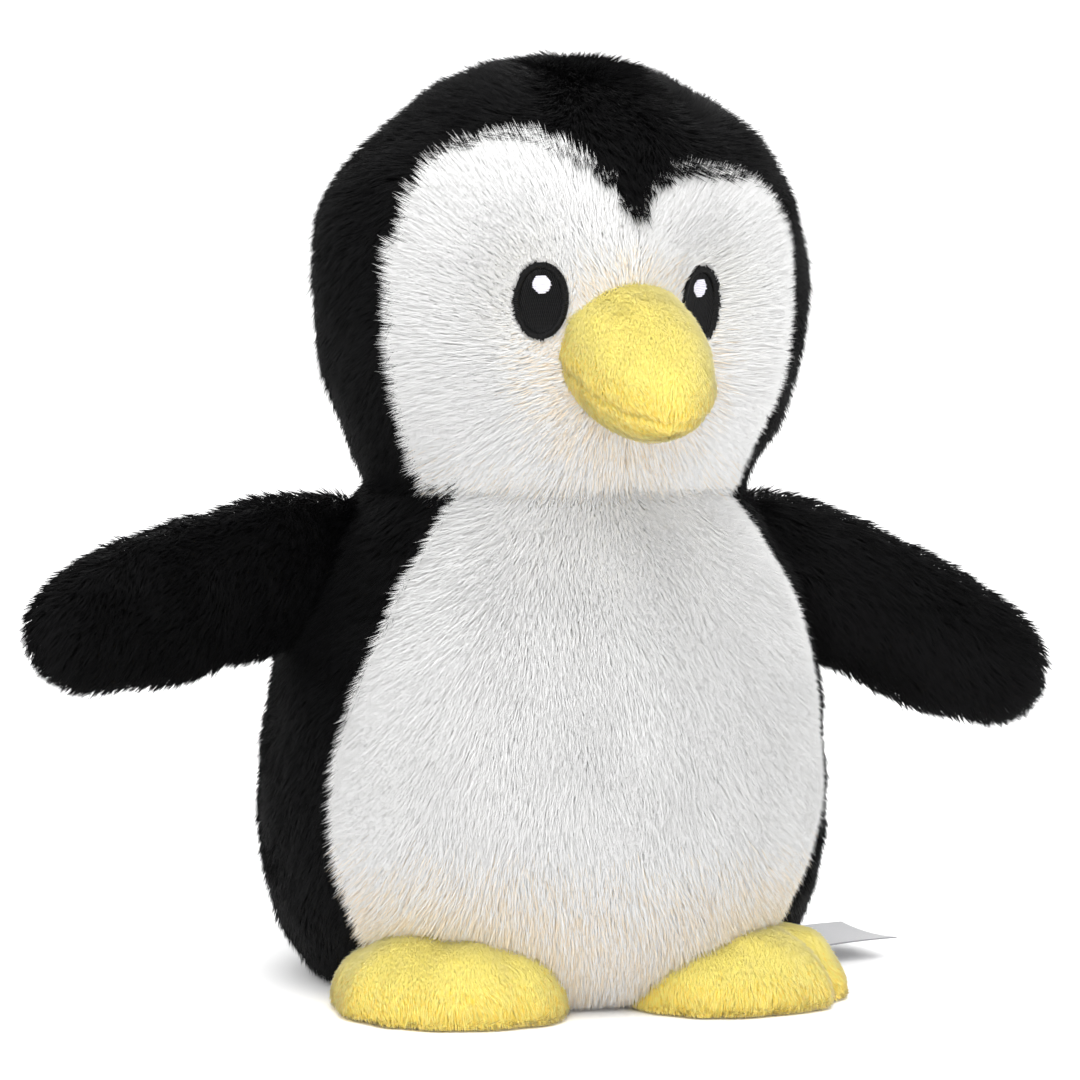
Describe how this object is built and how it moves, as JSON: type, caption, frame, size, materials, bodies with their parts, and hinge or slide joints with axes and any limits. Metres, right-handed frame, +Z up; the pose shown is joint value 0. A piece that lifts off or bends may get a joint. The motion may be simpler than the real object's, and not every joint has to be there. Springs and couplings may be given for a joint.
{
  "type": "plush penguin",
  "caption": "Standing stuffed penguin: pear-shaped body, round head with padded beak, two flippers that flap, two padded feet that flex and a small care label.",
  "frame": {"origin": "centre of the flat base, on the floor under the body", "axes": "+Z up; the penguin faces -Y; its own left side is at +X, so +X runs across both flippers"},
  "size_m": [0.2897, 0.1455, 0.2455],
  "materials": {
    "white_plush": "matte",
    "black_plush": "matte",
    "yellow_minky": "matte",
    "fibre_filling": "matte",
    "bag_cloth": "matte",
    "plastic_pellets": "matte",
    "black_thread": "matte",
    "white_thread": "matte",
    "grey_satin": "satin"
  },
  "bodies": {
    "torso": {"torso_stuffing": "fibre_filling", "belly_panel": "white_plush", "back_panel_left": "black_plush", "back_panel_right": "black_plush", "base_panel": "black_plush", "pellet_bag": "bag_cloth", "pellets": "plastic_pellets"},
    "neck": {"neck_stuffing": "fibre_filling"},
    "head": {"face_panel_left": "white_plush", "face_panel_right": "white_plush", "hood_crown": "black_plush", "hood_side_left": "black_plush", "hood_side_right": "black_plush", "head_stuffing": "fibre_filling", "eye_left": "black_thread", "eye_right": "black_thread", "eye_highlight_left": "white_thread", "eye_highlight_right": "white_thread", "beak_upper": "yellow_minky", "beak_lower": "yellow_minky", "beak_stuffing": "fibre_filling"},
    "flipper_left": {"flipper_stuffing_left": "fibre_filling", "flipper_front_left": "black_plush", "flipper_back_left": "black_plush"},
    "foot_left": {"foot_stuffing_left": "fibre_filling", "foot_sole_left": "yellow_minky", "foot_top_left": "yellow_minky"},
    "flipper_right": {"flipper_stuffing_right": "fibre_filling", "flipper_front_right": "black_plush", "flipper_back_right": "black_plush"},
    "foot_right": {"foot_stuffing_right": "fibre_filling", "foot_sole_right": "yellow_minky", "foot_top_right": "yellow_minky"},
    "label": {"care_label": "grey_satin"}
  },
  "joints": [
    {"name": "neck_nod", "type": "hinge", "parent": "torso", "child": "neck", "pos_m": [0, 0, 0.17], "axis": [1, 0, 0], "range_deg": [-12, 12], "stiffness_Nm_per_rad": 0.3},
    {"name": "head_turn", "type": "hinge", "parent": "neck", "child": "head", "pos_m": [0, 0, 0.17], "axis": [0, 0, 1], "range_deg": [-20, 20], "stiffness_Nm_per_rad": 0.2},
    {"name": "flipper_left_flap", "type": "hinge", "parent": "torso", "child": "flipper_left", "pos_m": [0.084, 0, 0.104], "axis": [-0.1392, -0.9903, 0], "range_deg": [-45, 55], "stiffness_Nm_per_rad": 0.12},
    {"name": "flipper_right_flap", "type": "hinge", "parent": "torso", "child": "flipper_right", "pos_m": [-0.084, 0, 0.1075], "axis": [-0.2756, 0.9613, 0], "range_deg": [-55, 45], "stiffness_Nm_per_rad": 0.12},
    {"name": "foot_left_flex", "type": "hinge", "parent": "torso", "child": "foot_left", "pos_m": [0.04, -0.0205, 0.0005], "axis": [1, 0, 0], "range_deg": [0, 25], "stiffness_Nm_per_rad": 0.15},
    {"name": "foot_right_flex", "type": "hinge", "parent": "torso", "child": "foot_right", "pos_m": [-0.04, -0.0205, 0.0005], "axis": [1, 0, 0], "range_deg": [0, 25], "stiffness_Nm_per_rad": 0.15},
    {"name": "label_lift", "type": "hinge", "parent": "torso", "child": "label", "pos_m": [0.06, 0, 0.004], "axis": [0.2215, -0.9751, 0], "range_deg": [-5, 6], "stiffness_Nm_per_rad": 0.002}
  ]
}
